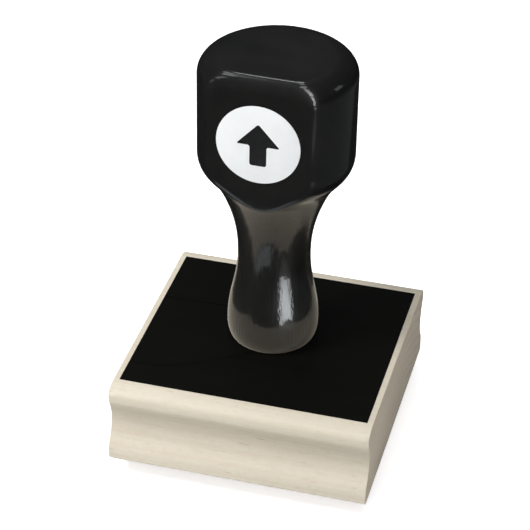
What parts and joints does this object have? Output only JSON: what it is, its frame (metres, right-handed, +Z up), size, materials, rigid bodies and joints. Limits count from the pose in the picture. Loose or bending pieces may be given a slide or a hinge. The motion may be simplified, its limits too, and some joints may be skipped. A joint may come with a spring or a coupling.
{
  "type": "rubber stamp",
  "caption": "Hand stamp: a rubber die on a foam cushion under a moulded maple block, with an index print on top and a black lacquered turned handle with a flat front.",
  "frame": {"origin": "centre of the printing face, where the stamp rests", "axes": "+Z up the handle, X along the grain of the moulding, -Y the front, which the handle's flat and badge face"},
  "size_m": [0.08, 0.0824, 0.1281],
  "materials": {
    "maple": "sanded bare maple, pale cream, fine straight grain",
    "black_lacquer": "glossy black lacquer over turned hardwood",
    "index_ink": "matte black print with a faint grain",
    "badge_vinyl": null,
    "zinc_steel": "bright zinc-plated steel",
    "adhesive_film": "milky double-sided film",
    "grey_foam": "fine closed-cell foam",
    "die_rubber": "matte moulded dark red rubber"
  },
  "bodies": {
    "mount": {"mount_block": "maple", "index_print": "index_ink", "handle": "black_lacquer", "handle_screw": "zinc_steel", "badge": "badge_vinyl", "cushion_tape_upper": "adhesive_film", "foam_cushion": "grey_foam"},
    "die": {"rubber_die": "die_rubber", "cushion_tape_lower": "adhesive_film"}
  },
  "joints": [
    {"name": "die_press", "type": "slide", "parent": "mount", "child": "die", "axis": [0, 0, 1], "range_m": [0, 0.001], "stiffness_N_per_m": 100000, "deforming": ["foam_cushion"]}
  ]
}
